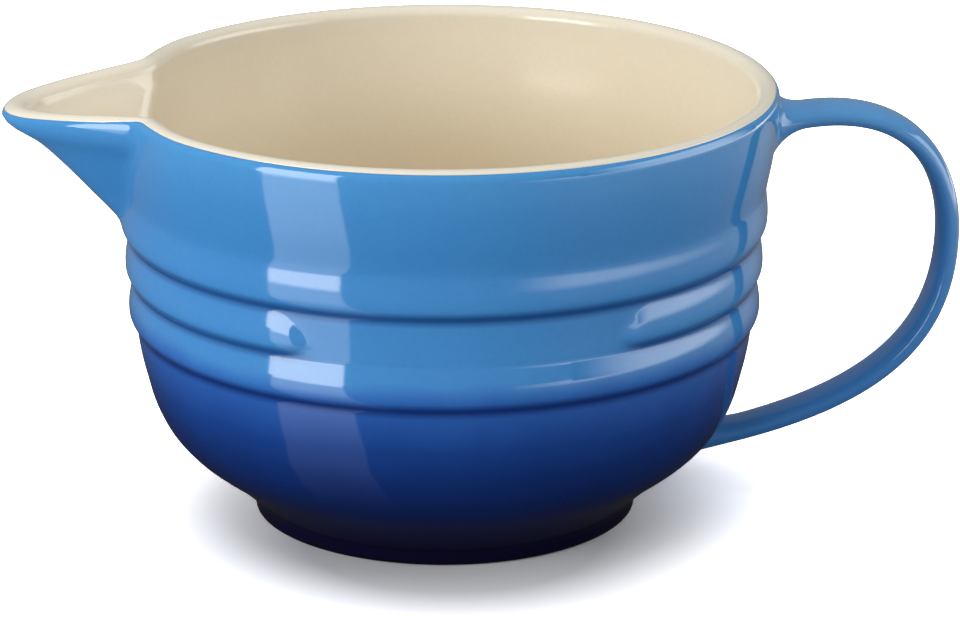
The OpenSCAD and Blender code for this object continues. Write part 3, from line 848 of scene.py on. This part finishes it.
@dataclass
class Handle:
    """The pulled strap handle, with its roots blended into the wall.

    A surface's inset is how far inside the glazed face it lies.
    """

    shape: BowlShape = field(default_factory=BowlShape)
    reach: float = 147.3
    mid: float = 77.3
    top: float = 110.0
    low: float = 16.2
    # How far each bow's control points are drawn out, as shares of its reach and height
    top_pull: Place = (0.733, 1.336, 0.687)
    low_pull: Place = (0.705, 0.158, 0.541)
    width: Pair = (18.0, 14.0)
    thick: Pair = (6.6, 5.8)
    flare_l: float = 9.0
    flare_side: float = 5.0
    flare_over: float = 6.4
    flare_under: float = 9.4
    flare_low_over: float = 7.0
    flare_low_under: float = 2.0
    power: float = 2.3
    around: int = 72
    flare_rows: int = 17
    strap_rows: int = 70
    straight_on: float = 200.0
    glaze_t: float = 0.45
    sink: float = 0.12
    slip_t: float = 1.2
    slip_share: float = 0.93
    slip_sink: float = 0.1
    # Where along the strap each root is looked for: from, to and in how many places
    top_span: tuple[float, float, int] = (0, 0.2, 900)
    low_span: tuple[float, float, int] = (1.12, 0.78, 1500)

    def bows(self) -> tuple[Array, Array]:
        """Returns the four control points of the upper and of the lower bow."""
        x = self.reach - sum(self.thick) / 4
        fair, half = self.shape.fair(), self.shape.wall / 2
        root, end = float(fair(self.top)) - half, float(fair(self.low)) + half
        rise, fall = self.top - self.mid, self.mid - self.low
        out, up, near = self.top_pull
        upper = [(root, self.top), (root + out * (x - root), self.mid + up * rise),
                 (x, self.mid + near * rise), (x, self.mid)]
        out, up, near = self.low_pull
        lower = [(x, self.mid), (x, self.mid - near * fall),
                 (end + out * (x - end), self.low + up * fall), (end, self.low)]
        return np.array(upper), np.array(lower)

    def middle(self, s: Array) -> tuple[Array, Array]:
        """Returns the strap's middle line and its directions.

        Args:
            s: Places along the strap, 0 at the top root to 1 at the low one and straight on.

        Returns:
            Points and unit directions in the plane of the handle.
        """
        upper, lower = self.bows()
        first = (s < 0.5)[..., None]
        t = np.clip(np.where(s < 0.5, 2 * s, 2 * s - 1), 0, 1)[..., None]
        p = np.where(first, upper[:, None, None, :], lower[:, None, None, :])
        u = 1 - t
        place = u**3 * p[0] + 3 * t * u**2 * p[1] + 3 * t**2 * u * p[2] + t**3 * p[3]
        way = u**2 * (p[1] - p[0]) + 2 * t * u * (p[2] - p[1]) + t**2 * (p[3] - p[2])
        way = unit(way)
        return place + np.maximum(s - 1, 0)[..., None] * self.straight_on * way, way

    def surface(self, s: Array, inset: float) -> Array:
        """Returns points of the plain strap, without its flares.

        Args:
            s: Places along the strap, positions round it by rows.
            inset: The surface's inset.

        Returns:
            Points, positions round the strap by rows by three.
        """
        place, way = self.middle(s)
        w = np.interp(s, (0, 1), self.width) - 2 * inset
        t = np.interp(s, (0, 1), self.thick) - 2 * inset
        b = 2 * pi * np.arange(self.around)[:, None] / self.around
        side = powered(np.cos(b), 2 / self.power) * w / 2
        over = powered(np.sin(b), 2 / self.power) * t / 2
        out = np.stack([-way[..., 1], way[..., 0]], axis=-1)
        at = place + out * over[..., None]
        return np.stack([at[..., 0], side, at[..., 1]], axis=-1)

    def wall_gap(self, points: Array, inset: float) -> Array:
        """Returns how far points lie outside the bowl's wall."""
        fair = self.shape.fair()
        x, y, z = np.moveaxis(points, -1, 0)
        return (np.hypot(x, y) - fair(z)) / np.sqrt(1 + fair.slope(z) ** 2) + inset

    def root(self, inset: float, low: bool) -> tuple[Array, Array]:
        """Returns the rows of a root, from the wall out to where its flare ends.

        Args:
            inset: The surface's inset.
            low: Whether this is the low root.

        Returns:
            Points, positions round by rows by three, and the places where they end.
        """
        places = np.linspace(*(self.low_span if low else self.top_span))
        fine = np.tile(places, (self.around, 1))
        gap = self.wall_gap(self.surface(fine, inset), inset)
        # Even steps of angle round the flare, closest together at the wall
        depth = self.flare_l * (1 - np.cos(np.linspace(0, QUARTER, self.flare_rows)))
        depth = np.concatenate([[-self.sink - inset], depth])
        # Each line's gaps rise outwards, by a trace at least
        gap = np.maximum.accumulate(gap + np.arange(len(places)) * 1e-9, axis=1)
        s = np.array([np.interp(depth, line, places) for line in gap])
        points = self.surface(s, inset)
        d = np.clip(depth, 0, self.flare_l)
        share = 1 - np.sqrt(1 - (1 - d / self.flare_l) ** 2)
        b = 2 * pi * np.arange(self.around) / self.around
        side = powered(np.cos(b), 2 - 2 / self.power)
        over = powered(np.sin(b), 2 - 2 / self.power)
        n = np.hypot(side, over)
        side, over = side / n, over / n
        # Over the strap is up the wall at the top root, and down it at the low one
        if low:
            reach = -np.where(over > 0, self.flare_low_under, self.flare_low_over) * over
        else:
            reach = np.where(over > 0, self.flare_over, self.flare_under) * over
        x, y, z = np.moveaxis(points, -1, 0)
        m = self.shape.fair().slope(z)
        r = np.hypot(x, y)
        rise = unit(np.stack([m * x / r, m * y / r, np.ones_like(m)], axis=-1))
        level = np.stack([-y / r, x / r, np.zeros_like(m)], axis=-1)
        move = rise * reach[:, None, None] + level * self.flare_side * side[:, None, None]
        return points + move * share[:, None], s[:, -1]

    def rows(self, inset: float) -> Array:
        """Returns the strap's surface, positions round by rows from top root to low."""
        top, top_end = self.root(inset, False)
        low, low_end = self.root(inset, True)
        share = np.linspace(0, 1, self.strap_rows + 2)[1:-1]
        s = top_end[:, None] + share * (low_end - top_end)[:, None]
        return np.hstack([top, self.surface(s, inset), low[:, ::-1]])

    def coat(self) -> Object:
        """Returns the handle's glaze coat, a closed skin on the clay."""
        return skin("handle_glaze_coat", self.rows(0.0)[::-1], self.rows(self.glaze_t)[::-1])

    def clay(self) -> Object:
        """Returns the handle's clay, closed at both ends inside the wall."""
        rows = self.rows(self.glaze_t)[::-1]
        return tube("handle_clay", rows, [rows[:, 0].mean(axis=0), rows[:, -1].mean(axis=0)])

    def slip(self, low: bool) -> Object:
        """Returns the thin pad of slip at a root, hidden between strap and wall."""
        ring = self.root(self.glaze_t, low)[0][:, 0]
        middle = ring.mean(axis=0)
        inward = unit(np.array([-middle[0], 0, 0.0]))
        ring = middle + (ring - middle) * self.slip_share + inward * self.slip_sink
        ring = ring if low else ring[::-1]
        rows = np.stack([ring, ring + inward * self.slip_t], axis=1)
        name = "lower_slip_pad" if low else "upper_slip_pad"
        return tube(name, rows, [rows[:, 0].mean(axis=0), rows[:, 1].mean(axis=0)])


# The studio

@dataclass(frozen=True)
class Sheen:
    """A fan of painted light on the table that only the glaze mirrors.

    Each fade is two distances and the brightness at each.
    """

    way: float
    edges: Pair
    near: Fade
    far: Fade

    def seen(self, way: Value, far: Value) -> Value:
        """Returns its brightness by direction and distance on the table."""
        off = (way - radians(self.way)).step("WRAP", pi, -pi).step("ABSOLUTE")
        fan = off.fade(*map(radians, self.edges), 1.0, 0.0)
        return fan * (far.fade(*self.near) + far.fade(*self.far))


@dataclass(frozen=True)
class Card:
    """An upright lamp face that only the glaze mirrors.

    Soft is the share of its half width over which it fades at the sides.
    """

    name: str
    way: float
    far: float
    wide: float
    high: float
    strength: float
    soft: float

    def build(self) -> Object:
        """Makes the card."""
        glow, tree = blank(self.name + "_glow")
        uv = add(tree, "ShaderNodeUVMap", {"uv_map": "face"})[0]
        across = Value(add(tree, "ShaderNodeSeparateXYZ", {}, {0: uv})["X"])
        fade = (across * 2.0 - 1.0).step("ABSOLUTE").fade(1 - self.soft, 1.0, self.strength, 0.0)
        shine = add(tree, "ShaderNodeEmission", {}, {0: linear(WHITE), 1: fade})
        add(tree, "ShaderNodeOutputMaterial", {}, {0: shine[0]})
        a = radians(self.way)
        middle = Vector((cos(a), sin(a), 0)) * self.far
        side = Vector((-sin(a), cos(a), 0)) * self.wide / 2
        up = Vector((0, 0, self.high))
        corners = [middle - side, middle + side, middle + side + up, middle - side + up]
        made = flat(self.name, corners, glow)
        layer = made.data.uv_layers.new(name="face")
        for i, uv in enumerate(((0, 0), (1, 0), (1, 1), (0, 1))):
            layer.data[i].uv = uv
        for ray in ("camera", "diffuse", "shadow", "transmission"):
            setattr(made, "visible_" + ray, False)
        return made


@dataclass(frozen=True)
class Lamp:
    """A soft square lamp aimed at the bowl, not mirrored in the glaze."""

    name: str
    place: Place
    size: float
    power: float
    target: Place = (0.0, 0.0, 0.06)

    def build(self) -> None:
        """Makes the lamp."""
        data = bpy.data.lights.new(self.name, "AREA")
        data.shape = "SQUARE"
        data.size = self.size
        data.energy = self.power
        made = placed(self.name, data)
        made.location = self.place
        made.rotation_mode = "QUATERNION"
        aim = Vector(self.target) - Vector(self.place)
        made.rotation_quaternion = aim.to_track_quat("-Z", "Y")
        made.visible_glossy = False


@dataclass(frozen=True)
class Studio:
    """A pale table, soft lamps, and the tall lamps that the glaze mirrors."""

    focal_px: float = 3979.0
    image_w: int = 960
    sensor_mm: float = 36.0
    eye: Place = (-0.0753, -1.0764, 0.406)
    heading: float = 4.54
    pitch: float = 17.955
    room_light: float = 0.65
    room_seen: float = 0.35
    room_dim: float = 0.4
    table: str = "#c9c9cc"
    table_half: float = 3.0
    shade_from: Place = (0.0, -0.032, 0.0)
    shade_span: Pair = (0.042, 0.1)
    shade_gain: Pair = (0.78, 2.4)
    shade_tint: Place = (1.0, 1.01, 1.05)
    mirrored_table_glow: Fade = (0.06, 0.45, 0.02, 0.25)
    sheen_from: Pair = (0.015, -0.032)
    sheens: tuple[Sheen, ...] = (
        Sheen(-142.8, (12.35, 13.15), (0.07, 0.3, 0.0, 2.6), (0.5, 0.75, 0.0, 6.4)),
        Sheen(-8.0, (39.0, 69.0), (0.09, 0.45, 0.0, 0.42), (0.5, 0.9, 0.0, 3.0)),
    )
    cards: tuple[Card, ...] = (
        Card("left_lamp_face", 218.6, 0.9, 0.45, 0.6, 9.0, 0.05),
        Card("right_lamp_face", -10.0, 1.0, 1.7, 0.7, 4.5, 0.8),
    )
    lamps: tuple[Lamp, ...] = (
        Lamp("top_lamp", (-0.3, -0.2, 1.9), 1.6, 12.0),
        Lamp("left_lamp", (-1.35, -0.75, 0.4), 0.8, 15.5),
        Lamp("right_lamp", (1.3, -0.8, 0.9), 1.0, 5.0),
    )

    def camera(self) -> None:
        """Sets the camera at the photograph's angle."""
        data = bpy.data.cameras.new("camera")
        data.sensor_fit = "HORIZONTAL"
        data.sensor_width = self.sensor_mm
        data.lens = self.focal_px * self.sensor_mm / self.image_w
        made = placed("camera", data)
        h, p = radians(self.heading), radians(self.pitch)
        look = Vector((sin(h) * cos(p), cos(h) * cos(p), -sin(p)))
        made.location = self.eye
        made.rotation_mode = "QUATERNION"
        made.rotation_quaternion = look.to_track_quat("-Z", "Y")
        bpy.context.scene.camera = made

    def world(self) -> None:
        """Lights the room evenly, white to the camera and dimmer in the glaze."""
        world = bpy.data.worlds.new("room")
        world.use_nodes = True
        tree = world.node_tree
        tree.nodes.clear()
        path = add(tree, "ShaderNodeLightPath")
        level = Value(path[Ray.CAMERA.value]) * self.room_seen + self.room_light
        level = level - Value(path[Ray.GLOSSY.value]) * self.room_dim
        glow = add(tree, "ShaderNodeBackground", {}, {0: linear(WHITE), 1: level})
        add(tree, "ShaderNodeOutputWorld", {}, {0: glow[0]})
        bpy.context.scene.world = world

    def floor(self) -> Object:
        """Makes the pale table, with a painted sheen of the tall lamps on it for the glaze only.
        """
        pale, tree = blank("pale_table")
        path = add(tree, "ShaderNodeLightPath")
        where = add(tree, "ShaderNodeTexCoord")["Object"]
        x, y, _ = map(Value, add(tree, "ShaderNodeSeparateXYZ", {}, {0: where}))
        way = (y - self.sheen_from[1]).step("ARCTAN2", x - self.sheen_from[0])
        far = add(tree, "ShaderNodeVectorMath", {"operation": "LENGTH"}, {0: where})[1]
        # To glossy rays the table is an emission, a painted reflection: dim near the foot, where
        # its shadow lies, brighter further out, plus the fans of the sheens
        mirrored = Value(far).fade(*self.mirrored_table_glow)
        for sheen in self.sheens:
            mirrored = mirrored + sheen.seen(way, Value(far))
        # Seen straight on, the table's colour is raised far from the foot so that it renders
        # white, and lowered near the foot into a painted shadow over the real one, tinted a little
        # blue
        apart = add(tree, "ShaderNodeVectorMath", {"operation": "DISTANCE"},
                    {0: where, 1: self.shade_from})[1]
        gain = dict(enumerate((apart, *self.shade_span, *self.shade_gain)))
        gain = add(tree, "ShaderNodeMapRange", {}, gain)[0]
        bright = add(tree, "ShaderNodeVectorMath", {"operation": "SCALE"},
                     {0: self.shade_tint, 3: gain})[0]
        seen = add(tree, "ShaderNodeMix", {"data_type": "RGBA"},
                   {0: path[Ray.CAMERA.value], 6: linear(self.table), 7: bright})[2]
        cloth = add(tree, "ShaderNodeBsdfDiffuse", {}, {0: seen})
        plain = add(tree, "ShaderNodeEmission", {}, {0: linear(WHITE), 1: mirrored})
        mixed = add(tree, "ShaderNodeMixShader", {}, {
            0: path[Ray.GLOSSY.value], 1: cloth[0], 2: plain[0]})
        add(tree, "ShaderNodeOutputMaterial", {}, {0: mixed[0]})
        h = self.table_half
        return flat("table", [(-h, -h, 0), (h, -h, 0), (h, h, 0), (-h, h, 0)], pale)

    def build(self) -> None:
        """Sets up camera, room, table and lamps."""
        self.camera()
        self.world()
        self.floor()
        for card in self.cards:
            card.build()
        for lamp in self.lamps:
            lamp.build()
        bpy.context.scene.view_settings.view_transform = "Standard"


def dress(piece: Object, look: Material, slot: Slot, *nodes: str) -> None:
    """Gives a piece its material and its body, and hides the solids that it stands for."""
    piece.data.materials.clear()
    piece.data.materials.append(look)
    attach(piece, "root")
    if nodes:
        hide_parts(*nodes)
    LOG.info("%s: %d faces", piece.name, len(piece.data.polygons))


def main() -> None:
    """Builds the bowl, its handle and the studio, and reports each piece."""
    logging.basicConfig(level=logging.INFO, format="%(name)s %(message)s")
    azure = AzureGlaze().build()
    # The strap's grade is darker towards the bottom; its creases get no pooled colour or painted
    # shade.
    strap = AzureGlaze(
        name="azure_strap_glaze", grade=(
            (0, "#245c9a"), (20, "#3873b0"), (40, "#3f7ab6"), (60, "#3f7bb6"),
            (86, "#447fb8"), (105, "#4a87be"), (124, "#558fc2")), crease_pool_and_shade=WHITE).build()
    cream = CreamGlaze().build()
    clay = BareStoneware().build()
    slip = BareStoneware(name="joining_slip", clay="#bfae90", dark="#a8977a").build()
    bowl = Bowl()
    dress(bowl.clay_body(), clay, Slot.STONEWARE, "bowl_body")
    dress(bowl.outer_coat(), azure, Slot.BLUE, "outer_glaze")
    dress(bowl.liner_coat(), cream, Slot.CREAM, "liner_glaze")
    handle = Handle()
    dress(handle.clay(), clay, Slot.STONEWARE, "handle")
    dress(handle.coat(), strap, Slot.BLUE, "handle_glaze")
    dress(handle.slip(False), slip, Slot.SLIP, "upper_slip_joint")
    dress(handle.slip(True), slip, Slot.SLIP, "lower_slip_joint")
    Studio().build()


if __name__ == "__main__":
    main()
